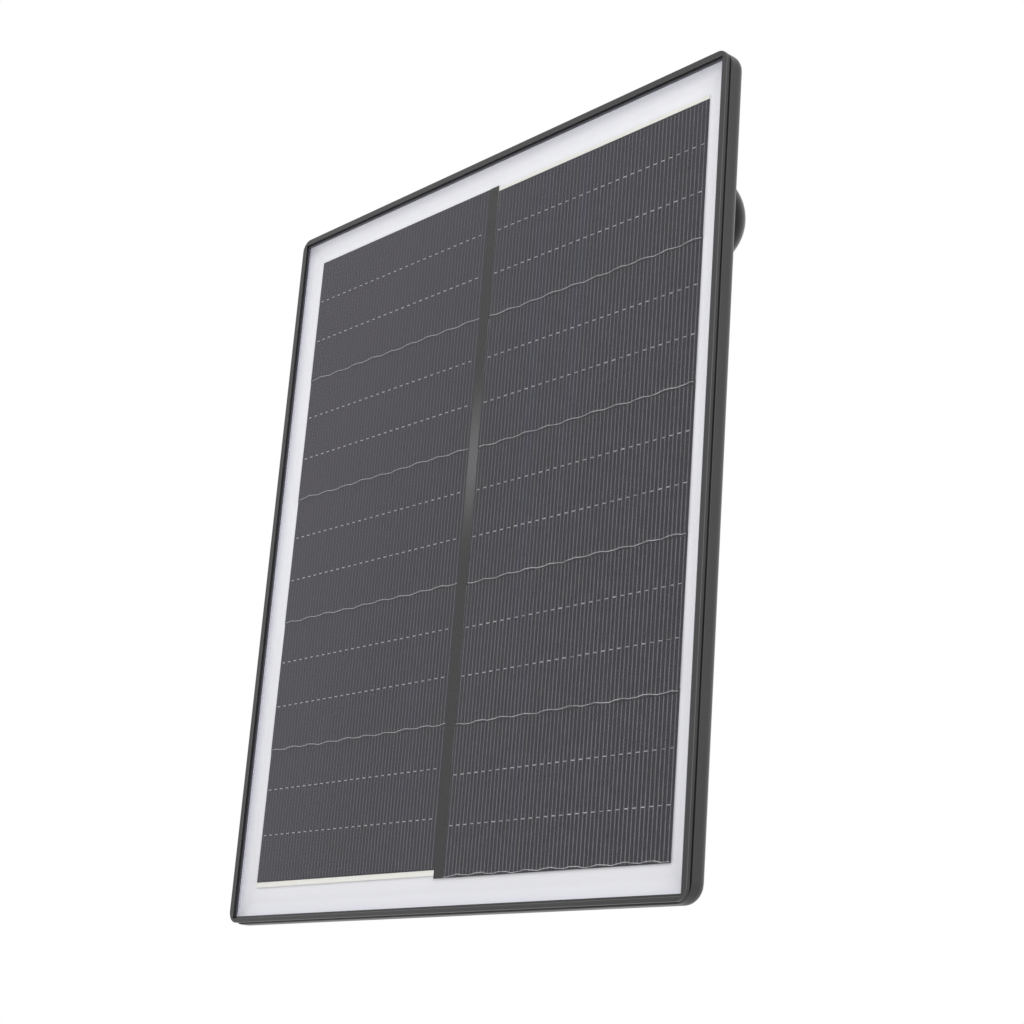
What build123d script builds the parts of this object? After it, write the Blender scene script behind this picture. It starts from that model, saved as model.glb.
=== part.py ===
"""Small outdoor solar charging panel on a swivel arm, modelled as the separate pieces it is assembled from.

Working axes while the pieces are drawn, in millimetres: +X to the right of someone facing the glass, +Y away
from them, +Z up, with the front face of the glass at Y = 0 and the middle of the window at X = 0, Z = 0.
Every piece is then shifted so that the row's origin is the mouth of the threaded socket in the mounting ball.
"""
import os

from build123d import *

# ---------------------------------------------------------------- driving dimensions
# Front window and frame
window_w = 158.7
window_h = 184.1
bezel_face = 1.5
bezel_face_bottom = 1.05
bezel_proud = 1.0
bezel_corner_r = 3.0
ledge_front_y = -0.3
ledge_x = (-78.6, 78.65)
ledge_z = (-91.93, 91.35)
groove_width = 0.34
groove_depth = 0.22
housing_proud = 0.35
housing_corner_r = 4.4
housing_back_r = 2.6
wall_rim_y = 0.2
wall = 1.0

# Layers behind the window, front to back
glass_t = 2.0
glass_lap = 0.6
glass_corner_r = 2.0
tray_corner_r = 2.4
film_front_y = 2.02
film_back_y = 2.30
cell_front_y = 2.34
cell_t = 0.18
shingle_rise = 0.24
sheet_front_y = 2.84
sheet_back_y = 3.14
gasket_front_y = 3.17
gasket_back_y = 3.62
floor_front_y = 3.65
floor_back_y = 5.0

# Solar cells: five overlapping strips in each of two columns, wired in one string
strips_per_column = 5
strip_pitch = 33.65
strip_overlap = 1.05
left_column_x = (-72.9, -1.85)
right_column_x = (1.5, 73.8)
left_column_top = 85.7
left_first_strip = 35.1
left_column_bottom = -83.5
right_column_top = 84.15
right_first_strip = 34.1
right_column_bottom = -85.5
centre_strip_x = (-1.8, 1.45)
top_ribbon_w = 0.95
bottom_ribbon_w = 1.3
ribbon_t = 0.12

# Junction compartment on the back
box_half_w = 24.0
box_top_z = -40.0
box_bottom_z = -78.0
box_wall = 2.0
box_rim_y = 14.0
box_corner_r = 5.0
cover_front_y = 14.5
cover_back_y = 16.1
board_front_y = 7.5
board_back_y = 9.1
cover_screw_x = 20.0
cover_screw_z = (-44.0, -74.0)

# Swivel hub at the middle of the back
boss_r = 16.0
boss_back_y = 8.6
hub_washer_back_y = 9.2
turret_front_y = 9.5
turret_base_y = 12.5
turret_r = 15.0
shoulder_r = 4.0
hub_head_r = 6.2
hub_head_y = (13.2, 15.9)

# Tilt knuckle
knuckle_y = 26.0
knuckle_r = 9.0
lug_half_w = 6.0
ear_inner = 7.2
ear_outer = 12.2
pivot_r = 3.0
running = 0.05
knob_x = (-22.5, -13.9)
knob_r = 11.0

# Ball joint at the top of the arm
ball_y = 70.4
ball_z = 101.8
housing_r = 14.0
cavity_r = 11.36
seat_outer_r = 11.30
seat_inner_r = 10.06
ball_r = 10.0
cap_split = 0.5
cap_front = 10.2
neck_r = 4.4
neck_length = 14.4
thread_wall_r = 2.6
thread_depth = 8.0
lock_dy = -4.0

origin_shift = Location((0, -(ball_y + neck_length), -ball_z))

# ---------------------------------------------------------------- drawing helpers
pieces = {}


def block(x, y, z):
    """Box between two limits on each axis."""
    box = Box(x[1] - x[0], y[1] - y[0], z[1] - z[0])
    return Pos((x[0] + x[1]) / 2, (y[0] + y[1]) / 2, (z[0] + z[1]) / 2) * box


def facing_plane(y):
    """Plane parallel to the glass whose normal points to the back."""
    return Plane(origin=(0, y, 0), x_dir=(1, 0, 0), z_dir=(0, 1, 0))


def slab(width, height, corner_r, y, centre=(0.0, 0.0)):
    """Rounded rectangle parallel to the glass, between two Y values."""
    outline = RectangleRounded(width, height, corner_r) if corner_r > 0 else Rectangle(width, height)
    placed = facing_plane(y[0]) * Pos(centre[0], -centre[1]) * outline
    return extrude(placed, amount=y[1] - y[0])


def y_rod(r, y, x=0.0, z=0.0):
    """Round bar along Y."""
    return extrude(facing_plane(y[0]) * Pos(x, -z) * Circle(r), amount=y[1] - y[0])


def x_rod(r, x, y, z):
    """Round bar along X."""
    return extrude(Plane(origin=(x[0], y, z), z_dir=(1, 0, 0)) * Circle(r), amount=x[1] - x[0])


def z_rod(r, z, x, y):
    """Round bar along Z."""
    return extrude(Plane(origin=(x, y, z[0])) * Circle(r), amount=z[1] - z[0])


def ball(r, y=ball_y, z=ball_z):
    """Sphere at the arm's upper joint."""
    return Pos(0, y, z) * Sphere(r)


# ---------------------------------------------------------------- front frame and glass
# Thin moulded frame ring: a raised lip round the window, a low ledge inside it that laps the glass edge, and a
# neck standing on the housing rim that leaves a groove.
rim_w = window_w + 2 * bezel_face
rim_h = window_h + 2 * bezel_face
neck_w = rim_w - 2 * groove_depth
neck_h = rim_h - 2 * groove_depth
groove_front_y = wall_rim_y - groove_width
rim = slab(rim_w, rim_h, bezel_corner_r, (-bezel_proud, groove_front_y))
neck = slab(neck_w, neck_h, bezel_corner_r - groove_depth, (groove_front_y, wall_rim_y))
lip_z = (-rim_h / 2 + bezel_face_bottom, window_h / 2)
lip_cut = block((-window_w / 2, window_w / 2), (-bezel_proud - 1, ledge_front_y), lip_z)
ledge_cut = block(ledge_x, (-bezel_proud - 1, 1), ledge_z)
glass_w = window_w + 2 * glass_lap
glass_h = window_h + 2 * glass_lap
glass_seat = slab(glass_w + 0.1, glass_h + 0.1, 1.5, (-0.02, 1))
bezel = rim + neck - lip_cut - ledge_cut - glass_seat
front_edges = bezel.edges().filter_by_position(Axis.Y, -bezel_proud - 0.01, -bezel_proud + 0.01)
pieces["front_bezel"] = fillet(front_edges, 0.2)

# Tempered cover glass with a fine ground edge.
glass = slab(glass_w, glass_h, glass_corner_r, (0, glass_t))
pieces["front_glass"] = chamfer(glass.edges().group_by(Axis.Y)[0], 0.12)

# Clear bonding film between the glass and the cells.
laminate_w = glass_w - 0.06
laminate_h = glass_h - 0.06
pieces["bonding_film"] = slab(laminate_w, laminate_h, glass_corner_r, (film_front_y, film_back_y))


# ---------------------------------------------------------------- cells and their ribbons
def cell_strip(x, top, bottom):
    """Thin silicon strip leaning so that its upper edge passes behind the strip above it."""
    height = top - bottom
    profile = Plane.YZ * Polygon(
        (cell_front_y + shingle_rise, top),
        (cell_front_y + shingle_rise + cell_t, top),
        (cell_front_y + cell_t, top - height),
        (cell_front_y, top - height),
        align=None,
    )
    return Pos(x[0], 0, 0) * extrude(profile, amount=x[1] - x[0], dir=(1, 0, 0))


def column(name, x, top, first_height, bottom):
    """Column of overlapping strips, numbered from the top."""
    upper = top
    for number in range(1, strips_per_column + 1):
        lower = top - first_height - (number - 1) * strip_pitch if number < strips_per_column else bottom
        strip_top = upper if number == 1 else upper + strip_overlap
        pieces[f"cell_{name}_{number}"] = cell_strip(x, strip_top, lower)
        upper = lower


column("left", left_column_x, left_column_top, left_first_strip, left_column_bottom)
column("right", right_column_x, right_column_top, right_first_strip, right_column_bottom)

# Black insulating strip between the columns, over the flat wire that links them.
strip_y = (cell_front_y, cell_front_y + 0.06)
pieces["centre_strip"] = block(centre_strip_x, strip_y, (right_column_bottom, left_column_top))
link_y = (cell_front_y + 0.1, cell_front_y + 0.1 + ribbon_t)
link_z = (left_column_bottom - bottom_ribbon_w, right_column_top + top_ribbon_w)
pieces["link_ribbon"] = block((-1.3, 0.9), link_y, link_z)

# Flat tinned wires along the free end of each column.
top_ribbon = block(right_column_x, link_y, (right_column_top + 0.05, right_column_top + top_ribbon_w))
pieces["ribbon_right_top"] = top_ribbon
bottom_ribbon_z = (left_column_bottom - bottom_ribbon_w, left_column_bottom - 0.05)
bottom_ribbon = block((left_column_x[0], -1.4), link_y, bottom_ribbon_z)
pieces["ribbon_left_bottom"] = bottom_ribbon

# White backing sheet, and the foam seal that presses the laminate against the frame's lip.
sheet_y = (sheet_front_y, sheet_back_y)
pieces["backing_sheet"] = slab(laminate_w, laminate_h, glass_corner_r, sheet_y)
gasket_y = (gasket_front_y, gasket_back_y)
gasket = slab(glass_w - 0.8, glass_h - 0.8, 1.8, gasket_y) - slab(glass_w - 8.8, glass_h - 8.8, 1.8, gasket_y)
pieces["foam_seal"] = gasket

# ---------------------------------------------------------------- rear housing
# Shallow moulded tray with a rounded back edge, a central boss with gussets and a junction compartment.
tray_w = rim_w + 2 * housing_proud
tray_h = rim_h + 2 * housing_proud
tray = slab(tray_w, tray_h, housing_corner_r, (wall_rim_y, floor_back_y))
tray = fillet(tray.edges().group_by(Axis.Y)[-1], housing_back_r)
tray = fillet(tray.edges().group_by(Axis.Y)[0], 0.25)
tray_cavity = slab(tray_w - 2 * wall, tray_h - 2 * wall, tray_corner_r, (wall_rim_y - 1, floor_front_y))
boss = y_rod(boss_r, (floor_back_y - 0.5, boss_back_y))
boss = chamfer(boss.edges().group_by(Axis.Y)[-1], 0.6)


def gusset(angle, reach):
    """Low triangular rib running outward from the boss."""
    profile = Plane.XY * Polygon(
        (boss_r - 2, floor_back_y - 0.4),
        (reach, floor_back_y - 0.4),
        (reach, floor_back_y + 0.5),
        (boss_r - 2, boss_back_y - 0.7),
        align=None,
    )
    rib = Pos(0, 0, -1) * extrude(profile, amount=2)
    return Rot(0, angle, 0) * rib


housing = tray + boss
for rib_angle in (0, 180):
    housing += gusset(rib_angle, 68)
for rib_angle in (35, 145):
    housing += gusset(rib_angle, 36)
for rib_angle in (-50, -90, -130):
    housing += gusset(rib_angle, 78)
housing -= tray_cavity

box_h = box_top_z - box_bottom_z
box_mid = (0.0, (box_top_z + box_bottom_z) / 2)
box_outer = slab(2 * box_half_w, box_h, box_corner_r, (floor_back_y - 0.5, box_rim_y), box_mid)
box_inner_w = 2 * (box_half_w - box_wall)
box_inner_h = box_h - 2 * box_wall
box_inner = slab(box_inner_w, box_inner_h, box_corner_r - box_wall, (floor_back_y, box_rim_y + 1), box_mid)
compartment = box_outer - box_inner
for side in (-1, 1):
    for screw_z in cover_screw_z:
        compartment += y_rod(3.2, (floor_back_y, box_rim_y), side * cover_screw_x, screw_z)
    compartment += y_rod(2.4, (floor_back_y - 0.2, board_front_y), side * 12.5, -50)
for side in (-1, 1):
    for screw_z in cover_screw_z:
        compartment -= y_rod(1.22, (floor_back_y + 2, box_rim_y + 1), side * cover_screw_x, screw_z)
    compartment -= y_rod(0.95, (floor_back_y + 0.5, board_front_y + 1), side * 12.5, -50)
port_y = (8.7, 12.7)
compartment -= block((-5.2, 5.2), port_y, (box_bottom_z - 1, box_bottom_z + box_wall + 1))
housing += compartment

# Ears that carry the port cover's pin, at the left of the charging port.
port_hinge_x = -9.5
port_hinge_z = -80.2
for ear_y in ((6.9, 8.1), (12.8, 14.0)):
    ear = block((-11.2, -7.9), ear_y, (port_hinge_z, box_bottom_z + 0.5))
    ear += y_rod(1.65, ear_y, port_hinge_x, port_hinge_z)
    housing += ear - y_rod(0.81, (6, 15), port_hinge_x, port_hinge_z)

# Passages: two slots for the string leads and the stepped hole of the hub.
for side in (-1, 1):
    housing -= block((side * 7 - 2, side * 7 + 2), (floor_front_y - 1, floor_back_y + 0.6), (-47.2, -46.0))
housing -= y_rod(5.02, (floor_front_y + 0.35, 8.02))
housing -= y_rod(shoulder_r + 0.02, (8.0, boss_back_y + 1))
pieces["rear_housing"] = housing

# ---------------------------------------------------------------- junction compartment contents
seal_y = (box_rim_y, cover_front_y)
seal = slab(2 * box_half_w - 0.6, box_h - 0.6, box_corner_r - 0.3, seal_y, box_mid)
seal -= slab(2 * box_half_w - 3.0, box_h - 3.0, box_corner_r - 1.5, seal_y, box_mid)
pieces["cover_seal"] = seal
cover = slab(2 * box_half_w, box_h, box_corner_r, (cover_front_y, cover_back_y), box_mid)
cover = chamfer(cover.edges().group_by(Axis.Y)[-1], 0.5)
cover_screws = []
for side in (-1, 1):
    for screw_z in cover_screw_z:
        cover -= y_rod(1.45, (cover_front_y - 1, cover_back_y + 1), side * cover_screw_x, screw_z)
        cover -= y_rod(2.5, (cover_back_y - 0.75, cover_back_y + 1), side * cover_screw_x, screw_z)
        shank = y_rod(1.2, (floor_back_y + 3, cover_back_y - 0.7), side * cover_screw_x, screw_z)
        head = y_rod(2.35, (cover_back_y - 0.73, cover_back_y + 0.35), side * cover_screw_x, screw_z)
        slot_a = block((side * cover_screw_x - 1.4, side * cover_screw_x + 1.4),
                       (cover_back_y - 0.2, cover_back_y + 1), (screw_z - 0.28, screw_z + 0.28))
        slot_b = block((side * cover_screw_x - 0.28, side * cover_screw_x + 0.28),
                       (cover_back_y - 0.2, cover_back_y + 1), (screw_z - 1.4, screw_z + 1.4))
        cover_screws.append(shank + head - slot_a - slot_b)
for vent in range(5):
    groove_z = -52 - 3.2 * vent
    cover -= block((-12, 12), (cover_back_y - 0.4, cover_back_y + 1), (groove_z - 0.6, groove_z + 0.6))
pieces["junction_cover"] = cover
pieces["cover_screws"] = Compound(children=cover_screws)

board = block((-16, 16), (board_front_y + 0.02, board_back_y), (-75.4, -43.6))
board_screws = []
for side in (-1, 1):
    board -= y_rod(1.1, (6, 10), side * 12.5, -50)
    screw = y_rod(0.9, (floor_back_y + 0.8, board_back_y + 0.02), side * 12.5, -50)
    screw += y_rod(1.9, (board_back_y + 0.02, board_back_y + 1.2), side * 12.5, -50)
    slot_x = (side * 12.5 - 1.3, side * 12.5 + 1.3)
    screw -= block(slot_x, (board_back_y + 0.7, board_back_y + 2), (-50.25, -49.75))
    board_screws.append(screw)
pieces["charge_board"] = board
pieces["board_screws"] = Compound(children=board_screws)

part_y0 = board_back_y + 0.02
shell = block((-4.5, 4.5), (part_y0, part_y0 + 3.2), (box_bottom_z + 0.3, -70.6))
shell = fillet(shell.edges().filter_by(Axis.Z), 1.3)
mouth = block((-4.15, 4.15), (part_y0 + 0.35, part_y0 + 2.85), (box_bottom_z, -72.2))
mouth = fillet(mouth.edges().filter_by(Axis.Z), 1.1)
tongue = block((-3.3, 3.3), (part_y0 + 1.25, part_y0 + 1.95), (box_bottom_z + 1.2, -71.8))
pieces["usb_socket"] = shell - mouth + tongue
coil = block((3.0, 10.0), (part_y0, part_y0 + 3.6), (-62.5, -55.5))
pieces["power_coil"] = fillet(coil.edges().filter_by(Axis.Y), 1.2)
diode = block((-11.2, -6.6), (part_y0, part_y0 + 2.2), (-58.3, -55.5))
diode += block((-12.6, -5.2), (part_y0, part_y0 + 0.4), (-57.7, -56.1))
pieces["blocking_diode"] = diode
pieces["regulator_chip"] = block((-3.5, 0.5), (part_y0, part_y0 + 1.4), (-60.5, -55.5))
capacitors = [y_rod(2.1, (part_y0, part_y0 + 4.2), cap_x, -65.5) for cap_x in (-10.5, -5.5)]
pieces["capacitors"] = Compound(children=capacitors)
leads = []
for side in (-1, 1):
    lead_x = (side * 7 - 1.5, side * 7 + 1.5)
    leads.append(block(lead_x, (sheet_back_y + 0.02, board_front_y), (-46.75, -46.45)))
pieces["string_leads"] = Compound(children=leads)

# Rubber port cover: a flap with a short plug, turning on a steel pin.
flap = block((port_hinge_x, 8.6), (8.4, 12.5), (port_hinge_z - 0.4, -78.6))
flap += block((-6.0, 8.6), (7.0, 14.1), (port_hinge_z - 0.4, -78.6))
flap += block((6.8, 10.2), (9.0, 12.2), (port_hinge_z - 0.4, -79.5))
flap += y_rod(1.6, (8.4, 12.5), port_hinge_x, port_hinge_z)
flap += block((-2.9, 2.9), (part_y0 + 0.75, part_y0 + 2.45), (-78.7, -77.5)) \
    - block((-3.4, 3.4), (part_y0 + 0.95, part_y0 + 2.25), (-78.0, -77.0))
pieces["port_cover"] = flap - y_rod(0.8 + running, (6, 15), port_hinge_x, port_hinge_z)
pieces["port_pin"] = y_rod(0.8, (6.9, 14.0), port_hinge_x, port_hinge_z)

# ---------------------------------------------------------------- swivel hub
hub_insert = y_rod(5.0, (floor_front_y + 0.4, 8.0)) - y_rod(3.02, (floor_front_y + 0.3, 9.0))
pieces["hub_insert"] = hub_insert
washer = y_rod(boss_r - 2, (boss_back_y, hub_washer_back_y)) - y_rod(shoulder_r + 0.02, (8, 10))
pieces["hub_slip_washer"] = washer
screw = y_rod(3.0, (floor_front_y + 0.5, 8.0)) + y_rod(shoulder_r, (8.0, hub_head_y[0]))
screw_head = chamfer(y_rod(hub_head_r, hub_head_y).edges().group_by(Axis.Y)[-1], 0.5)
hex_socket = extrude(facing_plane(hub_head_y[1] - 1.6) * RegularPolygon(2.6, 6), amount=3)
pieces["hub_screw"] = screw + screw_head - hex_socket
wave = y_rod(6.9, (12.8, 13.18)) - y_rod(shoulder_r + 0.02, (12, 14))
pieces["hub_spring_washer"] = wave

# Turret: round base turning on the boss, with two ears for the tilt bolt.
turret = y_rod(turret_r, (turret_front_y, turret_base_y))
turret = chamfer(turret.edges().group_by(Axis.Y)[-1], 0.6)
for side in (-1, 1):
    ear_x = sorted((side * ear_inner, side * ear_outer))
    ear = block(ear_x, (turret_base_y - 1.5, knuckle_y), (-knuckle_r, knuckle_r))
    ear += x_rod(knuckle_r, ear_x, knuckle_y, 0)
    outer_face = ear.faces().sort_by(Axis.X)[-1 if side > 0 else 0]
    turret += chamfer(outer_face.edges(), 0.7)
turret -= y_rod(shoulder_r + running, (8, 14))
turret -= x_rod(pivot_r + 0.02, (-20, 20), knuckle_y, 0)
head_pocket = Plane(origin=(9.6, knuckle_y, 0), z_dir=(1, 0, 0)) * RegularPolygon(5.05, 6, major_radius=False)
turret -= extrude(head_pocket, amount=6)
pieces["turret"] = turret

hex_head = Plane(origin=(9.7, knuckle_y, 0), z_dir=(1, 0, 0)) * RegularPolygon(5.0, 6, major_radius=False)
pivot_head = extrude(hex_head, amount=4.0)
pivot = x_rod(pivot_r, (knob_x[0] + 2, 10), knuckle_y, 0) + pivot_head
pieces["pivot_bolt"] = pivot
slip_washers = []
for side in (-1, 1):
    disc_x = sorted((side * (lug_half_w + 0.32), side * (ear_inner - 0.02)))
    slip_washers.append(x_rod(8.0, disc_x, knuckle_y, 0) - x_rod(pivot_r + 0.02, (-20, 20), knuckle_y, 0))
pieces["knuckle_washers"] = Compound(children=slip_washers)
outer_washer = x_rod(6.0, (-ear_outer - 1.2, -ear_outer), knuckle_y, 0)
pieces["knob_washer"] = outer_washer - x_rod(pivot_r + 0.02, (-20, 20), knuckle_y, 0)

# Tilt knob: lobed grip moulded round a brass nut.
knob = x_rod(knob_r - 1.5, knob_x, knuckle_y, 0)
for lobe in range(6):
    lobe_dir = Vector(0, knob_r - 3.6, 0).rotate(Axis.X, 60 * lobe)
    knob += x_rod(3.6, (knob_x[0], knob_x[1] - 2), knuckle_y + lobe_dir.Y, lobe_dir.Z)
knob -= x_rod(5.02, (knob_x[1] - 6, knob_x[1] + 1), knuckle_y, 0)
knob -= x_rod(pivot_r + 0.3, (knob_x[0] + 1.4, knob_x[1]), knuckle_y, 0)
pieces["tilt_knob"] = knob
nut = x_rod(5.0, (knob_x[1] - 5.9, knob_x[1]), knuckle_y, 0)
pieces["tilt_knob_nut"] = nut - x_rod(pivot_r + running, (-30, 0), knuckle_y, 0)

# ---------------------------------------------------------------- arm and ball joint
# Arm: curved bar from the knuckle's lug to a spherical socket, with a shallow recess along each side.
path_points = ((knuckle_y, 0.0), (55.5, 47.7), (ball_y, ball_z))
half_widths = (7.6, 7.2, 6.4)


def bar_profile(inset):
    """Outline of the curved bar, drawn in the plane X = 0."""
    front = []
    back = []
    for index, (y, z) in enumerate(path_points):
        before = path_points[max(index - 1, 0)]
        after = path_points[min(index + 1, 2)]
        run = Vector(after[0] - before[0], after[1] - before[1]).normalized()
        reach = half_widths[index] - inset
        front.append((y - run.Y * reach, z + run.X * reach))
        back.append((y + run.Y * reach, z - run.X * reach))
    outline = ThreePointArc(*front) + Line(front[2], back[2]) + ThreePointArc(*back) + Line(back[0], front[0])
    return make_face(Plane.YZ * outline)


bar = Pos(-lug_half_w, 0, 0) * extrude(bar_profile(0), amount=2 * lug_half_w, dir=(1, 0, 0))
long_edges = [edge for edge in bar.edges() if edge.length > 60]
bar = fillet(long_edges, 1.8)
lug = x_rod(knuckle_r, (-lug_half_w, lug_half_w), knuckle_y, 0)
lug = fillet(lug.edges().filter_by(GeomType.CIRCLE), 0.5)
recess_zone = x_rod(42.0, (-10, 10), 50.5, 53.0)
recess = extrude(bar_profile(2.2), amount=4, dir=(1, 0, 0))
arm = bar + lug
for side in (-1, 1):
    cut_at = side * (lug_half_w - 1.3) if side > 0 else -lug_half_w - 2.7
    arm -= (Pos(cut_at, 0, 0) * recess) & recess_zone - ball(housing_r + 1.5)
lock_boss = x_rod(5.2, (-17.0, -8.0), ball_y + lock_dy, ball_z)
lock_hole = x_rod(2.5 + running, (-18.0, -8.0), ball_y + lock_dy, ball_z)
split_y = ball_y + cap_split
keep_back = block((-40, 40), (split_y, split_y + 40), (ball_z - 40, ball_z + 40))
arm += ball(housing_r) + lock_boss
arm -= keep_back
collar = y_rod(12.5, (split_y - 0.5, split_y + 3.0), 0, ball_z)
arm += collar
arm -= ball(cavity_r)
arm -= lock_hole
arm -= x_rod(pivot_r + running, (-20, 20), knuckle_y, 0)
pieces["arm"] = arm

# Socket cap: front half of the ball socket, fitted over the arm's collar.
cap = ball(housing_r) & block((-20, 20), (split_y + 0.02, ball_y + cap_front), (ball_z - 20, ball_z + 20))
cap -= y_rod(12.52, (split_y - 1, split_y + 3.02), 0, ball_z)
cap -= ball(cavity_r)
mouth_plane = facing_plane(ball_y + 7.6) * Pos(0, -ball_z)
mouth_near = mouth_plane * Circle(7.45)
mouth_far = facing_plane(ball_y + cap_front + 0.4) * Pos(0, -ball_z) * Circle(8.45)
cap -= loft([mouth_near, mouth_far])
pieces["socket_cap"] = cap

# Nylon seat: thin spherical shell between ball and socket, open at the neck.
seat = ball(seat_outer_r) - ball(seat_inner_r)
seat -= block((-20, 20), (ball_y - 20, ball_y - 8.2), (ball_z - 20, ball_z + 20))
seat_mouth = Plane(origin=(0, ball_y, ball_z), x_dir=(1, 0, 0), z_dir=(0, 1, 0))
seat_open_near = seat_mouth.offset(6.0) * Circle(5.35)
seat_open_far = seat_mouth.offset(13.0) * Circle(11.6)
pieces["ball_seat"] = seat - loft([seat_open_near, seat_open_far])

# Mounting ball with its neck and a threaded steel bush for the wall bracket's stud.
mouth_y = ball_y + neck_length
neck_bar = y_rod(neck_r, (ball_y + 4, mouth_y), 0, ball_z)
mount_ball = ball(ball_r) + neck_bar
bush_front = mouth_y - thread_depth - 1.2
mount_ball -= y_rod(3.52, (bush_front, mouth_y + 1), 0, ball_z)
pieces["mounting_ball"] = mount_ball
bush = y_rod(3.5, (bush_front + 0.02, mouth_y), 0, ball_z)
pieces["threaded_bush"] = bush - y_rod(thread_wall_r, (mouth_y - thread_depth, mouth_y + 1), 0, ball_z)

# Lock screw: bears on the seat through the side of the socket.
lock_y = ball_y + lock_dy
lock = x_rod(2.5, (-18.6, -11.65), lock_y, ball_z)
lock_grip = x_rod(6.6, (-24.5, -17.4), lock_y, ball_z)
for flute in range(12):
    flute_dir = Vector(0, 7.2, 0).rotate(Axis.X, 30 * flute)
    lock_grip -= x_rod(1.2, (-26, -16), lock_y + flute_dir.Y, ball_z + flute_dir.Z)
lock_grip -= x_rod(2.52, (-18.7, -17.0), lock_y, ball_z)
pieces["lock_screw"] = lock
pieces["lock_grip"] = lock_grip

# ---------------------------------------------------------------- one STEP file per piece
os.makedirs("parts", exist_ok=True)
for name, shape in pieces.items():
    export_step(origin_shift * shape, f"parts/{name}.step")
print(len(pieces), "pieces")
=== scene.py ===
import math
import random

import bpy
from mathutils import Matrix, Vector


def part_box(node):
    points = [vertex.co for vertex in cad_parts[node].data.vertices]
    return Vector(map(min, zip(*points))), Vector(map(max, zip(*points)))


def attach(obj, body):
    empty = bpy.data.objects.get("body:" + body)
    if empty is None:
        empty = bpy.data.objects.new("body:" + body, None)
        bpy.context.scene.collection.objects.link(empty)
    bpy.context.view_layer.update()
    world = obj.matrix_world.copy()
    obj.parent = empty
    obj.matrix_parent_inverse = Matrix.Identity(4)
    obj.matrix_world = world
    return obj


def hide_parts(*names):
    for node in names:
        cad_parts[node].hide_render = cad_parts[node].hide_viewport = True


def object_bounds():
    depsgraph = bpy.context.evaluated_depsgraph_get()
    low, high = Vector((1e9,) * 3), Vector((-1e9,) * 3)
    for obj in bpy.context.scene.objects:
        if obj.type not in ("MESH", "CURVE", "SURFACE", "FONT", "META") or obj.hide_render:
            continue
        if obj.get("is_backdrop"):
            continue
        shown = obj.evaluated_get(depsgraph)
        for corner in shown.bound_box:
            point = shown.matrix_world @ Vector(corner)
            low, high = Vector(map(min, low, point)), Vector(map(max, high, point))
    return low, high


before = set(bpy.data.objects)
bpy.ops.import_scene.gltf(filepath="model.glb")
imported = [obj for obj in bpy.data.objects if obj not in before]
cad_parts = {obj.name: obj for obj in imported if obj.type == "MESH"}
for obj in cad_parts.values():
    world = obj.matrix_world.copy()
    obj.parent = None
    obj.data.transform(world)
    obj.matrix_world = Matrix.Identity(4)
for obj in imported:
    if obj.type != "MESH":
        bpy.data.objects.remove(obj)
cad_low, cad_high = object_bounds()

# ---------------------------------------------------------------- front frame ring
# Thin ring moulded in black ABS that laps the glass edge. Its face is satin, with the faint cloudiness that
# moulding leaves. A painted highlight lightens its rounded edges, and a painted reflection of light off the sheet
# lightens its inner wall.
MM = 0.001
LIP_FACE = 1.75 * MM
WALL_REFLECTION_TONE = (0.060, 0.058, 0.075)


def node_in(tree, kind, **settings):
    node = tree.nodes.new(kind)
    for key, value in settings.items():
        setattr(node, key, value)
    return node


def feed(tree, value, socket):
    if isinstance(value, bpy.types.NodeSocket):
        tree.links.new(value, socket)
    else:
        socket.default_value = value


def math_in(tree, operation, *values, clamp=False):
    node = node_in(tree, "ShaderNodeMath", operation=operation, use_clamp=clamp)
    for value, socket in zip(values, node.inputs):
        feed(tree, value, socket)
    return node.outputs[0]


def axes_of(tree, vector):
    split = node_in(tree, "ShaderNodeSeparateXYZ")
    tree.links.new(vector, split.inputs[0])
    return split.outputs


def noise_in(tree, vector, scale, detail, roughness=0.5):
    noise = node_in(tree, "ShaderNodeTexNoise")
    noise.inputs["Detail"].default_value = detail
    noise.inputs["Roughness"].default_value = roughness
    tree.links.new(vector, noise.inputs["Vector"])
    feed(tree, scale, noise.inputs["Scale"])
    return noise.outputs["Fac"]


def ranged(tree, value, low, high, to_low=0.0, to_high=1.0, curve="LINEAR"):
    remap = node_in(tree, "ShaderNodeMapRange", clamp=True, interpolation_type=curve)
    feed(tree, value, remap.inputs["Value"])
    for label, number in (("From Min", low), ("From Max", high), ("To Min", to_low), ("To Max", to_high)):
        feed(tree, number, remap.inputs[label])
    return remap.outputs["Result"]


def blended(tree, mask, first, second):
    mix = node_in(tree, "ShaderNodeMix", data_type="RGBA")
    feed(tree, mask, mix.inputs[0])
    for tone, socket in ((first, mix.inputs[6]), (second, mix.inputs[7])):
        feed(tree, (*tone, 1) if isinstance(tone, tuple) else tone, socket)
    return mix.outputs[2]


def group_tree(name, inputs, outputs):
    tree = bpy.data.node_groups.new(name, "ShaderNodeTree")
    for label, kind, value in inputs:
        socket = tree.interface.new_socket(name=label, in_out="INPUT", socket_type=kind)
        if value is not None:
            socket.default_value = value
    for label, kind in outputs:
        tree.interface.new_socket(name=label, in_out="OUTPUT", socket_type=kind)
    return tree, tree.nodes.new("NodeGroupInput").outputs, tree.nodes.new("NodeGroupOutput").inputs


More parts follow.
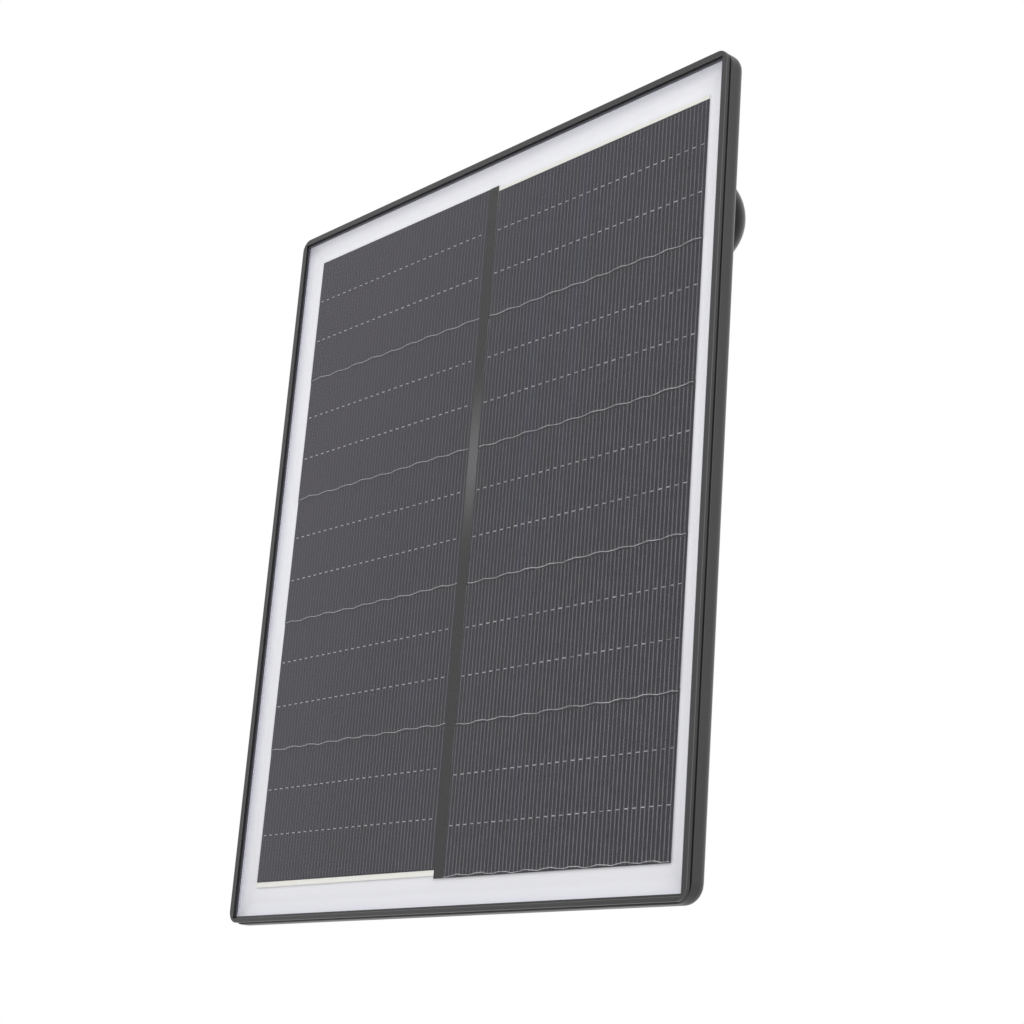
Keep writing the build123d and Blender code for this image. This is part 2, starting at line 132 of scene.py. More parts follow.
# Grain: the cloudy tone, uneven shine and fine pitting of a moulded face.
grain, grain_in, grain_out = group_tree(
    "moulded_grain",
    [("Place", "NodeSocketVector", None), ("Grain Scale", "NodeSocketFloat", 3000.0),
     ("Dark", "NodeSocketColor", (0.02, 0.02, 0.02, 1)), ("Light", "NodeSocketColor", (0.03, 0.03, 0.03, 1)),
     ("Smooth", "NodeSocketFloat", 0.3), ("Rough", "NodeSocketFloat", 0.5)],
    [("Colour", "NodeSocketColor"), ("Roughness", "NodeSocketFloat"), ("Height", "NodeSocketFloat")],
)
fine = noise_in(grain, grain_in["Place"], scale=grain_in["Grain Scale"], detail=2.0)
cloud = noise_in(grain, grain_in["Place"], scale=60.0, detail=4.0, roughness=0.6)
grain_tone = blended(grain, ranged(grain, cloud, 0.3, 0.7), grain_in["Dark"], grain_in["Light"])
grain.links.new(grain_tone, grain_out["Colour"])
grain.links.new(ranged(grain, cloud, 0.3, 0.7, grain_in["Smooth"], grain_in["Rough"]), grain_out["Roughness"])
grain.links.new(fine, grain_out["Height"])

# Dust: pale specks that settle on faces that look upward.
dust, dust_in, dust_out = group_tree(
    "settled_dust",
    [("Place", "NodeSocketVector", None), ("Amount", "NodeSocketFloat", 0.2),
     ("Under", "NodeSocketColor", (0, 0, 0, 1)), ("Dust", "NodeSocketColor", (0.35, 0.33, 0.3, 1))],
    [("Colour", "NodeSocketColor")],
)
dust_normal = axes_of(dust, node_in(dust, "ShaderNodeNewGeometry").outputs["Normal"])
upward = ranged(dust, dust_normal["Z"], 0.1, 1.0)
specks = ranged(dust, noise_in(dust, dust_in["Place"], scale=900.0, detail=5.0, roughness=0.7), 0.45, 0.75)
lying = math_in(dust, "MULTIPLY", upward, specks)
settled = math_in(dust, "MULTIPLY", lying, dust_in["Amount"], clamp=True)
dust.links.new(blended(dust, settled, dust_in["Under"], dust_in["Dust"]), dust_out["Colour"])

# Painted edge highlight: a paler tone where a rounded edge turns between the front face and the sides.
highlight_tree, highlight_in, highlight_out = group_tree(
    "painted_edge_highlight",
    [("Amount", "NodeSocketFloat", 0.0), ("Under", "NodeSocketColor", (0, 0, 0, 1)),
     ("Edge", "NodeSocketColor", (0.12, 0.12, 0.12, 1))],
    [("Colour", "NodeSocketColor")],
)
edge_normal = axes_of(highlight_tree, node_in(highlight_tree, "ShaderNodeNewGeometry").outputs["Normal"])
frontness = math_in(highlight_tree, "ABSOLUTE", edge_normal["Y"])
oblique = math_in(highlight_tree, "MULTIPLY", ranged(highlight_tree, frontness, 0.15, 0.45), ranged(highlight_tree, frontness, 0.97, 0.85))
highlight_share = math_in(highlight_tree, "MULTIPLY", oblique, highlight_in["Amount"])
highlight_tree.links.new(blended(highlight_tree, highlight_share, highlight_in["Under"], highlight_in["Edge"]), highlight_out["Colour"])


def plain_material(name):
    material = bpy.data.materials.new(name)
    material.use_nodes = True
    tree = material.node_tree
    place = node_in(tree, "ShaderNodeTexCoord").outputs["Object"]
    return material, tree, tree.nodes["Principled BSDF"], place


def group_in(tree, group, **values):
    node = node_in(tree, "ShaderNodeGroup", node_tree=group)
    for label, value in values.items():
        feed(tree, value, node.inputs[label.replace("_", " ")])
    return node.outputs


def bumped(tree, shader, height, depth):
    bump = node_in(tree, "ShaderNodeBump")
    bump.inputs["Strength"].default_value = 1.0
    bump.inputs["Distance"].default_value = depth
    tree.links.new(height, bump.inputs["Height"])
    tree.links.new(bump.outputs["Normal"], shader.inputs["Normal"])


def moulded(name, dark, light, smooth, rough, grain_scale, grain_depth, dusty, specular=0.5, edge_highlight=0.0):
    material, tree, shader, place = plain_material(name)
    body = group_in(tree, grain, Place=place, Grain_Scale=grain_scale, Dark=(*dark, 1), Light=(*light, 1),
                    Smooth=smooth, Rough=rough)
    film = group_in(tree, dust, Place=place, Amount=dusty, Under=body["Colour"])
    # Painted highlight on rounded edges, paler where the surface turns between front and side.
    painted_highlight = group_in(tree, highlight_tree, Amount=edge_highlight, Under=film["Colour"])
    tree.links.new(painted_highlight["Colour"], shader.inputs["Base Color"])
    tree.links.new(body["Roughness"], shader.inputs["Roughness"])
    bumped(tree, shader, body["Height"], grain_depth)
    shader.inputs["Specular IOR Level"].default_value = specular
    return material


def dress(material, *nodes):
    for name in nodes:
        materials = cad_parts[name].data.materials
        materials.clear()
        materials.append(material)


frame_plastic = moulded(
    "frame_satin_black", dark=(0.020, 0.020, 0.021), light=(0.027, 0.027, 0.028), smooth=0.30, rough=0.40,
    grain_scale=5200, grain_depth=0.004 * MM, dusty=0.10, edge_highlight=0.6)
frame_tree = frame_plastic.node_tree
frame_tone = frame_tree.nodes["Principled BSDF"].inputs["Base Color"]
bezel_low, bezel_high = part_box("front_bezel")
bezel_mid = (bezel_low + bezel_high) / 2
inner = axes_of(frame_tree, node_in(frame_tree, "ShaderNodeTexCoord").outputs["Object"])
across = math_in(frame_tree, "COMPARE", inner["X"], bezel_mid.x, bezel_high.x - bezel_mid.x - LIP_FACE)
upright = math_in(frame_tree, "COMPARE", inner["Z"], bezel_mid.z, bezel_high.z - bezel_mid.z - LIP_FACE)
inside = math_in(frame_tree, "MULTIPLY", across, upright)
# Painted reflection: inside the lip face the frame's inner wall takes a paler tone standing for light off the
# sheet.
painted_wall_reflection = blended(frame_tree, inside, frame_tone.links[0].from_socket, WALL_REFLECTION_TONE)
frame_tree.links.new(painted_wall_reflection, frame_tone)
dress(frame_plastic, "front_bezel")

# ---------------------------------------------------------------- cover glass
# Flat tempered glass bonded by clear film to everything behind it, so cells, ribbons and white sheet sit inside
# one clear slab and only its front face throws a reflection. Its edge is ground and goes under the frame's lip.
GLASS_CORNER = 2.0 * MM
EDGE_GRIND = 0.12 * MM
CORNER_STEPS = 8
GLASS_TINT = (0.985, 0.992, 0.995, 1)
GLASS_INDEX = 1.50
SMUDGE_ROUGHNESS = 0.03

glass_low, glass_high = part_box("front_glass")
sheet_low, sheet_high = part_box("backing_sheet")
window_mid = (glass_low + glass_high) / 2
half_w = (glass_high.x - glass_low.x) / 2
half_h = (glass_high.z - glass_low.z) / 2
slab_back = (sheet_low.y + sheet_high.y) / 2


def rounded_outline(half_across, half_up, radius):
    points = []
    for turn, (side_x, side_z) in enumerate(((1, 1), (-1, 1), (-1, -1), (1, -1))):
        for step in range(CORNER_STEPS + 1):
            angle = math.radians(90 * (turn + step / CORNER_STEPS))
            x = side_x * (half_across - radius) + radius * math.cos(angle)
            points.append((x, side_z * (half_up - radius) + radius * math.sin(angle)))
    return points


def mesh_piece(name, vertices, faces, material, body):
    mesh = bpy.data.meshes.new(name)
    mesh.from_pydata(vertices, [], faces)
    mesh.update()
    mesh.materials.append(material)
    piece = bpy.data.objects.new(name, mesh)
    bpy.context.scene.collection.objects.link(piece)
    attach(piece, body)
    return piece


slab_vertices = []
for inset, y in ((EDGE_GRIND, glass_low.y), (0, glass_low.y + EDGE_GRIND), (0, slab_back)):
    for x, z in rounded_outline(half_w - inset, half_h - inset, GLASS_CORNER - inset):
        slab_vertices.append((window_mid.x + x, y, window_mid.z + z))
count = len(slab_vertices) // 3
slab_faces = [list(range(count)), list(range(3 * count - 1, 2 * count - 1, -1))]
for level in range(2):
    for step in range(count):
        a, b = level * count + step, level * count + (step + 1) % count
        slab_faces.append([a, a + count, b + count, b])

cover_glass, tree, shader, place = plain_material("cover_glass")
shader.inputs["Base Color"].default_value = GLASS_TINT
shader.inputs["Transmission Weight"].default_value = 1.0
shader.inputs["IOR"].default_value = GLASS_INDEX
smears = noise_in(tree, place, scale=45.0, detail=5.0, roughness=0.65)
smudge = ranged(tree, smears, 0.5, 0.8, to_low=0.0, to_high=SMUDGE_ROUGHNESS)
tree.links.new(smudge, shader.inputs["Roughness"])
ray = node_in(tree, "ShaderNodeLightPath").outputs
either = node_in(tree, "ShaderNodeMixShader")
passes = math_in(tree, "MAXIMUM", ray["Is Shadow Ray"], ray["Is Diffuse Ray"])
tree.links.new(passes, either.inputs[0])
tree.links.new(shader.outputs[0], either.inputs[1])
tree.links.new(node_in(tree, "ShaderNodeBsdfTransparent").outputs[0], either.inputs[2])
tree.links.new(either.outputs[0], tree.nodes["Material Output"].inputs["Surface"])
glass_slab = mesh_piece("cover_glass_slab", slab_vertices, slab_faces, cover_glass, "panel")
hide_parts("front_glass", "bonding_film")

# ---------------------------------------------------------------- solar cells
# Ten strips of blue-black silicon laid like roof shingles, each lower edge lapped over the next strip. The silver
# print on each is a comb of fine upright fingers, two rows of short test dashes and a wavy collector at the lap.
# Towards the upper left a painted glare, a haze standing for reflected light, lies over the cells and their print,
# where the print shows through more softly.
FINGER_PITCH = 1.24 * MM
FINGER_WIDTH = 0.30 * MM
FINGER_STOP = 0.3 * MM
DASH_HEIGHT = 0.17 * MM
DASH_GAP = 0.1 * MM
DASH_RISES = (11.75 * MM, 23.35 * MM)
WAVE_LENGTH = 7.7 * MM
WAVE_SWING = 0.25 * MM
WAVE_RISE = 0.5 * MM
WAVE_STEPS = 220
COLLECTOR_WIDTH = 0.14 * MM
COLLECTOR_FRONT = 0.004 * MM
COLLECTOR_BACK = 0.008 * MM
PRINT_LIFT = 0.02 * MM
SHINGLE_RISE = 0.24 * MM
EDGE_MARGIN = 0.55 * MM
PRINT_SLIP = 0.12 * MM
WAVE_PARTS = ((0.75, 1.0, 1.0), (0.16, 0.37, 2.3), (0.35, 3.1, 1.7))
SILICON_DARK = (0.0042, 0.0026, 0.0110)
SILICON_LIGHT = (0.0066, 0.0046, 0.0140)
COATING_BLUE = (0.0060, 0.0056, 0.0280)
# The tones and ramps below paint a glare, a haze standing for reflected light, over cells and print towards the
# upper left.
GLARE_SILICON_TONE = (0.0170, 0.0130, 0.0270)
GLARE_SIDE = Vector((-0.93, 0.0, 0.37))
SILICON_GLARE_RAMP = (7 * MM, 65 * MM)
FINGER_GLARE_RAMP = (-94 * MM, 81 * MM)
PRINT_GLARE_RAMP = (-87 * MM, 65 * MM)


def drawn_out(tree, vector, share):
    stretch = node_in(tree, "ShaderNodeMapping")
    stretch.inputs["Scale"].default_value = (1.0, 1.0, share)
    tree.links.new(vector, stretch.inputs["Vector"])
    return stretch.outputs["Vector"]


def tinted(tree, shader, mask, dark, light):
    tree.links.new(blended(tree, mask, dark, light), shader.inputs["Base Color"])


def shined(tree, shader, mask, smooth, rough):
    tree.links.new(ranged(tree, mask, 0.2, 0.8, smooth, rough), shader.inputs["Roughness"])


# Painted glare mask, rising towards the upper left of the panel.
def painted_glare_mask(tree, place, start, full):
    along = node_in(tree, "ShaderNodeVectorMath", operation="DOT_PRODUCT")
    along.inputs[1].default_value = GLARE_SIDE
    tree.links.new(place, along.inputs[0])
    middle = window_mid.dot(GLARE_SIDE)
    return ranged(tree, along.outputs["Value"], middle + start, middle + full)


silicon, tree, shader, place = plain_material("textured_silicon")
crystal = noise_in(tree, place, scale=26.0, detail=3.0)
silicon_tone = blended(tree, ranged(tree, crystal, 0.3, 0.7), SILICON_DARK, SILICON_LIGHT)
bands = noise_in(tree, drawn_out(tree, place, 0.03), scale=130.0, detail=1.0)
coated_tone = blended(tree, ranged(tree, bands, 0.60, 0.78), silicon_tone, COATING_BLUE)
tinted(tree, shader, painted_glare_mask(tree, place, *SILICON_GLARE_RAMP), coated_tone, GLARE_SILICON_TONE)
shined(tree, shader, crystal, smooth=0.46, rough=0.54)
bumped(tree, shader, noise_in(tree, place, scale=9000.0, detail=2.0), depth=0.0001 * MM)
shader.inputs["Specular IOR Level"].default_value = 0.05


# Silver print whose tone blends into a painted glare tone towards the upper left.
def silver_paste(name, thin, thick, glare_tone, glare_ramp):
    material, tree, shader, place = plain_material(name)
    paste = noise_in(tree, place, scale=420.0, detail=3.0, roughness=0.6)
    printed = blended(tree, ranged(tree, paste, 0.35, 0.62), thin, thick)
    tinted(tree, shader, painted_glare_mask(tree, place, *glare_ramp), printed, glare_tone)
    shined(tree, shader, paste, smooth=0.5, rough=0.7)
    bumped(tree, shader, paste, depth=0.001 * MM)
    shader.inputs["Metallic"].default_value = 0.1
    shader.inputs["Specular IOR Level"].default_value = 0.05
    return material


finger_silver = silver_paste(
    "finger_silver", thin=(0.085, 0.085, 0.092), thick=(0.140, 0.140, 0.150), glare_tone=(0.036, 0.032, 0.048),
    glare_ramp=FINGER_GLARE_RAMP)
dash_silver = silver_paste(
    "dash_silver", thin=(0.14, 0.14, 0.15), thick=(0.60, 0.60, 0.62), glare_tone=(0.56, 0.56, 0.57), glare_ramp=PRINT_GLARE_RAMP)
wave_silver = silver_paste(
    "collector_silver", thin=(0.22, 0.22, 0.23), thick=(0.54, 0.54, 0.55), glare_tone=(0.36, 0.36, 0.37),
    glare_ramp=PRINT_GLARE_RAMP)

rng = random.Random(7)


def print_height(low, high, z):
    return low.y + (z - low.z) / (high.z - low.z) * SHINGLE_RISE - PRINT_LIFT


def flat_bar(vertices, faces, low, high, x0, x1, z0, z1):
    start = len(vertices)
    for thickness in (0, PRINT_LIFT * 0.7):
        for x, z in ((x0, z0), (x1, z0), (x1, z1), (x0, z1)):
            vertices.append((x, print_height(low, high, z) + thickness, z))
    faces.append([start, start + 1, start + 2, start + 3])
    faces.append([start + 7, start + 6, start + 5, start + 4])
    for corner in range(4):
        follow = (corner + 1) % 4
        faces.append([start + corner, start + corner + 4, start + follow + 4, start + follow])


def wave_point(low, high, step, phase):
    x = low.x + FINGER_STOP + (high.x - low.x - 2 * FINGER_STOP) * step / WAVE_STEPS
    swing = 0
    for share, stretch, turn in WAVE_PARTS:
        swing += share * math.sin(math.tau * x / (stretch * WAVE_LENGTH) + turn * phase)
    return x, low.z + WAVE_RISE + WAVE_SWING * swing


def collector_run(vertices, faces, low, high, step, phase):
    start = len(vertices)
    for x, z in (wave_point(low, high, step, phase), wave_point(low, high, step + 1, phase)):
        for edge_z in (z - COLLECTOR_WIDTH / 2, z + COLLECTOR_WIDTH / 2):
            height = print_height(low, high, edge_z)
            vertices.append((x, height - COLLECTOR_FRONT, edge_z))
            vertices.append((x, height + COLLECTOR_BACK, edge_z))
    a, b, c, d, e, f, g, h = range(start, start + 8)
    faces += [[a, e, g, c], [b, d, h, f], [a, b, f, e], [c, g, h, d], [a, c, d, b], [e, f, h, g]]


for side in ("left", "right"):
    for number in range(1, 6):
        cell = f"cell_{side}_{number}"
        dress(silicon, cell)
        low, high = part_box(cell)
        vertices, faces = [], []
        slip = rng.uniform(-PRINT_SLIP, PRINT_SLIP)
        phase = rng.uniform(0, math.tau)
        fingers = int((high.x - low.x - 2 * EDGE_MARGIN) / FINGER_PITCH) + 1
        first = (low.x + high.x) / 2 - (fingers - 1) * FINGER_PITCH / 2 + slip
        comb = [first + index * FINGER_PITCH for index in range(fingers)]
        for x in comb:
            flat_bar(vertices, faces, low, high, x - FINGER_WIDTH / 2, x + FINGER_WIDTH / 2,
                     low.z + FINGER_STOP, high.z - FINGER_STOP)
        finger_faces = len(faces)
        for rise in DASH_RISES:
            z = low.z + rise
            for x in comb[:-1:2]:
                flat_bar(vertices, faces, low, high, x + DASH_GAP, x + FINGER_PITCH - DASH_GAP,
                         z - DASH_HEIGHT / 2, z + DASH_HEIGHT / 2)
        dash_faces = len(faces) - finger_faces
        # The lowest strip on the left has the ribbon in place of a wavy collector.
        for step in range(WAVE_STEPS if cell != "cell_left_5" else 0):
            collector_run(vertices, faces, low, high, step, phase)
        wave_faces = len(faces) - finger_faces - dash_faces
        name = f"silver_print_{side}_{number}"
        silver_print = mesh_piece(name, vertices, faces, finger_silver, "panel")
        silver_print.data.materials.append(dash_silver)
        silver_print.data.materials.append(wave_silver)
        kinds = [0] * finger_faces + [1] * dash_faces + [2] * wave_faces
        silver_print.data.polygons.foreach_set("material_index", kinds)

# ---------------------------------------------------------------- centre strip and ribbons
# A black film strip hides the flat tinned wire that links the two columns; plain tinned ribbons, creamy where the
# flux has dried, are soldered along the top of the right column and the bottom of the left one.
# Painted highlight: a lighter band on the strip film, centred a little above the window's middle and fading out
# either way.
HIGHLIGHT_HEIGHT = 14.0 * MM
HIGHLIGHT_REACH = 24.0 * MM
HIGHLIGHT_TONE = (0.085, 0.083, 0.088)
FILM_DARK = (0.0030, 0.0034, 0.0030)
FILM_LIGHT = (0.0058, 0.0064, 0.0058)
FLUX_CREAM = (0.80, 0.78, 0.71)
TIN_WHITE = (0.92, 0.91, 0.87)

strip_film, tree, shader, place = plain_material("black_strip_film")
streaks = noise_in(tree, drawn_out(tree, place, 0.08), scale=1400.0, detail=3.0)
film_tone = blended(tree, streaks, FILM_DARK, FILM_LIGHT)
above_highlight = math_in(tree, "SUBTRACT", axes_of(tree, place)["Z"], window_mid.z + HIGHLIGHT_HEIGHT)
distance = math_in(tree, "ABSOLUTE", above_highlight)
painted_highlight = ranged(tree, distance, HIGHLIGHT_REACH, 0.0, curve="SMOOTHSTEP")
tinted(tree, shader, painted_highlight, film_tone, HIGHLIGHT_TONE)
shined(tree, shader, streaks, smooth=0.35, rough=0.55)
bumped(tree, shader, noise_in(tree, place, scale=90.0, detail=2.0), depth=0.05 * MM)
shader.inputs["Specular IOR Level"].default_value = 0.08
dress(strip_film, "centre_strip")

tinned, tree, shader, place = plain_material("tinned_ribbon")
flux = noise_in(tree, place, scale=320.0, detail=4.0, roughness=0.6)
tinted(tree, shader, flux, FLUX_CREAM, TIN_WHITE)
shined(tree, shader, flux, smooth=0.35, rough=0.6)
bumped(tree, shader, flux, depth=0.02 * MM)
shader.inputs["Metallic"].default_value = 0.15
dress(tinned, "ribbon_right_top", "ribbon_left_bottom", "link_ribbon")

# ---------------------------------------------------------------- backing sheet and seal
# White plastic sheet that closes the back of the laminate and shows as the white margins round the cells. A
# painted glow (emission) makes it a little brighter along its edge, standing for light trapped in the glass that
# comes out there, and a painted shade makes it duller towards its foot. A foam strip is glued behind it.
EDGE_GLOW_REACH = 4.5 * MM
EDGE_GLOW = (0.22, 0.22, 0.27)
INNER_GLOW = (0.000, 0.000, 0.004)
SHEET_DARK = (0.87, 0.87, 0.90)
SHEET_LIGHT = (0.92, 0.92, 0.95)
FOOT_SHADE_TONE = (0.80, 0.80, 0.825)
FOAM_DARK = (0.02, 0.02, 0.02)
FOAM_LIGHT = (0.07, 0.07, 0.07)

white_sheet, tree, shader, place = plain_material("white_backing_sheet")
fibre = noise_in(tree, place, scale=700.0, detail=4.0, roughness=0.6)
sheet_tone = blended(tree, fibre, SHEET_DARK, SHEET_LIGHT)
margin = axes_of(tree, place)
# Painted shade: the sheet greys towards its foot, from the window's middle down to its bottom edge.
foot_shade = ranged(tree, margin["Z"], window_mid.z, window_mid.z - half_h)
tinted(tree, shader, foot_shade, sheet_tone, FOOT_SHADE_TONE)
shined(tree, shader, fibre, smooth=0.5, rough=0.7)
bumped(tree, shader, fibre, depth=0.01 * MM)
shader.inputs["Specular IOR Level"].default_value = 0.1
# Painted glow: emission rising within the glow reach of the sheet's edge.
off_x = math_in(tree, "ABSOLUTE", math_in(tree, "SUBTRACT", margin["X"], window_mid.x))
off_z = math_in(tree, "ABSOLUTE", math_in(tree, "SUBTRACT", margin["Z"], window_mid.z))
near_side = ranged(tree, off_x, half_w - EDGE_GLOW_REACH, half_w)
near_end = ranged(tree, off_z, half_h - EDGE_GLOW_REACH, half_h)
painted_glow_mask = math_in(tree, "MAXIMUM", near_side, near_end)
tree.links.new(blended(tree, painted_glow_mask, INNER_GLOW, EDGE_GLOW), shader.inputs["Emission Color"])
shader.inputs["Emission Strength"].default_value = 1.0
dress(white_sheet, "backing_sheet")

foam, tree, shader, place = plain_material("closed_cell_foam")
bubbles = node_in(tree, "ShaderNodeTexVoronoi")
bubbles.inputs["Scale"].default_value = 2600.0
tree.links.new(place, bubbles.inputs["Vector"])
bubble = bubbles.outputs["Distance"]
tinted(tree, shader, bubble, FOAM_DARK, FOAM_LIGHT)
tree.links.new(ranged(tree, bubble, 0.0, 0.8, to_low=0.7, to_high=0.95), shader.inputs["Roughness"])
bumped(tree, shader, bubble, depth=0.05 * MM)
dress(foam, "foam_seal", "cover_seal")

# ---------------------------------------------------------------- rear housing and junction cover
# Tray and screwed cover moulded in black ABS with a fine spark-eroded texture on every outer face. The cover's
# texture is coarser, and it holds more dust.
housing_plastic = moulded(
    "housing_textured_black", dark=(0.019, 0.019, 0.020), light=(0.026, 0.026, 0.027), smooth=0.30, rough=0.40,
    grain_scale=3600, grain_depth=0.006 * MM, dusty=0.12, edge_highlight=0.08)
cover_plastic = moulded(
    "cover_textured_black", dark=(0.025, 0.025, 0.026), light=(0.034, 0.034, 0.035), smooth=0.44, rough=0.55,
    grain_scale=3000, grain_depth=0.014 * MM, dusty=0.22)
dress(housing_plastic, "rear_housing")
dress(cover_plastic, "junction_cover")

# ---------------------------------------------------------------- screws, pins, washers and bushes
# Zinc-plated steel turned or cold-headed parts, with fine turning lines and a slightly uneven plating. The hub
# insert, the knob's nut and the string leads are brass or copper, a little tarnished.
ZINC_DARK = (0.50, 0.50, 0.50)
ZINC_LIGHT = (0.66, 0.65, 0.63)

plated, tree, shader, place = plain_material("zinc_plated_steel")
turning = node_in(tree, "ShaderNodeTexWave", wave_type="RINGS", rings_direction="Y")
turning.inputs["Scale"].default_value = 900.0
turning.inputs["Distortion"].default_value = 0.6
tree.links.new(place, turning.inputs["Vector"])
plating = noise_in(tree, place, scale=500.0, detail=4.0)
tinted(tree, shader, plating, ZINC_DARK, ZINC_LIGHT)
shined(tree, shader, plating, smooth=0.22, rough=0.42)
bumped(tree, shader, turning.outputs["Fac"], depth=0.004 * MM)
shader.inputs["Metallic"].default_value = 1.0
dress(plated, "cover_screws", "board_screws", "port_pin", "hub_screw", "hub_spring_washer", "pivot_bolt",
      "knob_washer", "lock_screw", "threaded_bush", "usb_socket")


def bare_metal(name, scale, detail, dark, light, smooth, rough):
    material, tree, shader, place = plain_material(name)
    skin = noise_in(tree, place, scale, detail)
    tinted(tree, shader, skin, dark, light)
    shined(tree, shader, skin, smooth, rough)
    shader.inputs["Metallic"].default_value = 1.0
    return material


brass = bare_metal(
    "turned_brass", scale=380.0, detail=4.0, dark=(0.45, 0.31, 0.12), light=(0.72, 0.54, 0.25), smooth=0.2,
    rough=0.4)
dress(brass, "hub_insert", "tilt_knob_nut", "string_leads")

# ---------------------------------------------------------------- charge board and its parts
# Green glass-fibre board with the parts of a small step-down regulator, closed inside the junction compartment:
# black epoxy coil, diode and chip, and two drawn aluminium cans.
WEAVE_DARK = (0.010, 0.085, 0.040, 1)
WEAVE_LIGHT = (0.014, 0.110, 0.052, 1)

laminate, tree, shader, place = plain_material("green_circuit_board")
weave = node_in(tree, "ShaderNodeTexChecker")
weave.inputs["Scale"].default_value = 1600.0
weave.inputs["Color1"].default_value = WEAVE_DARK
weave.inputs["Color2"].default_value = WEAVE_LIGHT
tree.links.new(place, weave.inputs["Vector"])
tree.links.new(weave.outputs["Color"], shader.inputs["Base Color"])
shined(tree, shader, noise_in(tree, place, scale=240.0, detail=3.0), smooth=0.3, rough=0.5)
dress(laminate, "charge_board")
epoxy = moulded(
    "black_epoxy", dark=(0.012, 0.012, 0.012), light=(0.022, 0.022, 0.022), smooth=0.4, rough=0.6,
    grain_scale=5000, grain_depth=0.004 * MM, dusty=0.0)
dress(epoxy, "power_coil", "blocking_diode", "regulator_chip")
can = bare_metal(
    "aluminium_can", scale=800.0, detail=3.0, dark=(0.62, 0.62, 0.63), light=(0.78, 0.78, 0.79), smooth=0.2,
    rough=0.35)
dress(can, "capacitors")

# ---------------------------------------------------------------- port cover
# Soft silicone flap over the charging port, matt and slightly dusty. It is moulded in one piece and turns on a
# steel pin.
flap_rubber = moulded(
    "silicone_rubber", dark=(0.020, 0.020, 0.020), light=(0.032, 0.032, 0.032), smooth=0.62, rough=0.78,
    grain_scale=2600, grain_depth=0.008 * MM, dusty=0.35, specular=0.3)
dress(flap_rubber, "port_cover")

# ---------------------------------------------------------------- turret, arm and ball socket
# Glass-filled nylon mouldings, smoother and a little glossier than the panel's housing, with coarser grips on the
# knob and lock screw, natural nylon washers and seat, and a cast zinc ball.
bracket_plastic = moulded(
    "bracket_nylon_black", dark=(0.0030, 0.0030, 0.0029), light=(0.0055, 0.0055, 0.0052), smooth=0.18, rough=0.26,
    grain_scale=2400, grain_depth=0.003 * MM, dusty=0.03, specular=0.10)
dress(bracket_plastic, "turret", "arm", "socket_cap")
knob_plastic = moulded(
    "knob_nylon_black", dark=(0.020, 0.020, 0.020), light=(0.030, 0.030, 0.030), smooth=0.45, rough=0.6,
    grain_scale=3200, grain_depth=0.010 * MM, dusty=0.15)
dress(knob_plastic, "tilt_knob", "lock_grip")
natural_nylon = moulded(
    "natural_nylon", dark=(0.62, 0.60, 0.54), light=(0.74, 0.73, 0.68), smooth=0.35, rough=0.5,
    grain_scale=2000, grain_depth=0.004 * MM, dusty=0.05)
dress(natural_nylon, "ball_seat", "hub_slip_washer", "knuckle_washers")
cast_zinc = bare_metal(
    "cast_zinc", scale=600.0, detail=4.0, dark=(0.36, 0.36, 0.37), light=(0.50, 0.50, 0.51), smooth=0.28,
    rough=0.45)
dress(cast_zinc, "mounting_ball")

# ---------------------------------------------------------------- floor, light and camera
# Pale floor well below the hanging panel, an even white surround and one broad soft lamp above and in front. The
# camera stands low at the right and looks up at the glass.
FLOOR_DROP = 0.20
FLOOR_REACH = 6
FLOOR_DARK = (0.80, 0.80, 0.80)
FLOOR_LIGHT = (0.84, 0.84, 0.84)
LAMP_OFFSET = Vector((1.0, -0.75, 0.45))
LAMP_SIZE = (0.7, 0.5)
LAMP_WATTS = 3.0
EYE_OFFSET = Vector((0.371345, -0.29256, -0.14029))
EYE_LENS = 73.16
EYE_SENSOR = 36.0
EYE_RIGHT = Vector((0.65232002, 0.75436674, 0.07354687))
EYE_UP = Vector((0.17205708, -0.24188281, 0.95492883))

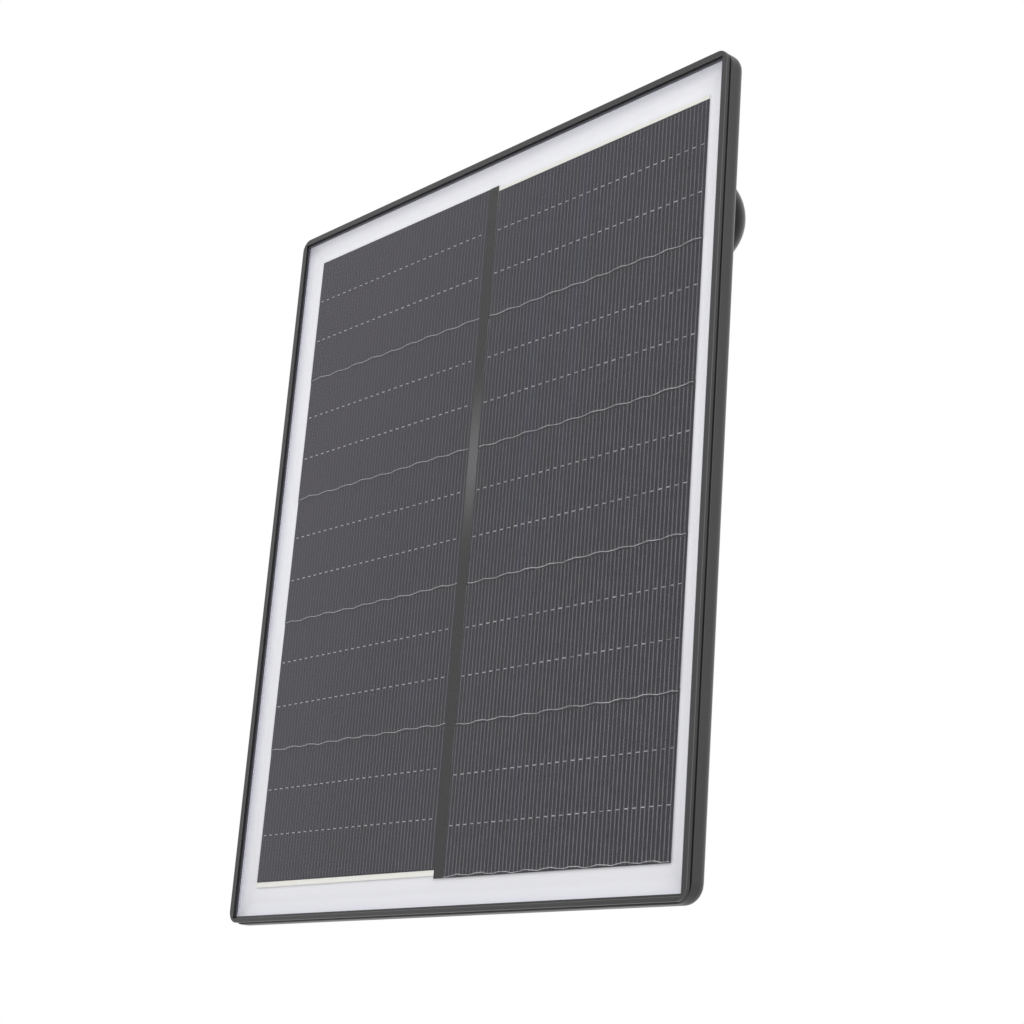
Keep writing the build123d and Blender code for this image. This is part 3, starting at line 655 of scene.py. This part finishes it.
floor_z = cad_low.z - FLOOR_DROP
mid = (cad_low + cad_high) / 2
floor_corners = [(mid.x + side_x * FLOOR_REACH, mid.y + side_y * FLOOR_REACH, floor_z)
                 for side_x, side_y in ((-1, -1), (1, -1), (1, 1), (-1, 1))]
floor_mesh = bpy.data.meshes.new("pale_floor")
floor_mesh.from_pydata(floor_corners, [], [[0, 1, 2, 3]])
floor_piece = bpy.data.objects.new("pale_floor", floor_mesh)
bpy.context.scene.collection.objects.link(floor_piece)
floor_paint, tree, shader, place = plain_material("pale_floor_paint")
tinted(tree, shader, noise_in(tree, place, scale=8.0, detail=4.0), FLOOR_DARK, FLOOR_LIGHT)
shader.inputs["Roughness"].default_value = 0.8
floor_mesh.materials.append(floor_paint)
floor_piece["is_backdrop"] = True

world = bpy.data.worlds.new("white_studio")
world.use_nodes = True
world.node_tree.nodes["Background"].inputs["Color"].default_value = (1, 1, 1, 1)
world.node_tree.nodes["Background"].inputs["Strength"].default_value = 1.0
bpy.context.scene.world = world

lamp_data = bpy.data.lights.new("broad_lamp", "AREA")
lamp_data.shape = "RECTANGLE"
lamp_data.size, lamp_data.size_y = LAMP_SIZE
lamp_data.energy = LAMP_WATTS
lamp = bpy.data.objects.new("broad_lamp", lamp_data)
lamp.location = mid + LAMP_OFFSET
lamp.rotation_euler = (mid - lamp.location).to_track_quat("-Z", "Y").to_euler()
bpy.context.scene.collection.objects.link(lamp)

camera_data = bpy.data.cameras.new("camera")
camera_data.sensor_width = EYE_SENSOR
camera_data.lens = EYE_LENS
camera_data.clip_start = 0.01
camera = bpy.data.objects.new("camera", camera_data)
eye_back = EYE_RIGHT.cross(EYE_UP)
camera.matrix_world = Matrix((
    (EYE_RIGHT.x, EYE_UP.x, eye_back.x, window_mid.x + EYE_OFFSET.x),
    (EYE_RIGHT.y, EYE_UP.y, eye_back.y, glass_low.y + EYE_OFFSET.y),
    (EYE_RIGHT.z, EYE_UP.z, eye_back.z, window_mid.z + EYE_OFFSET.z),
    (0, 0, 0, 1),
))
bpy.context.scene.collection.objects.link(camera)
bpy.context.scene.camera = camera
bpy.context.scene.view_settings.view_transform = "Standard"

low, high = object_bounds()
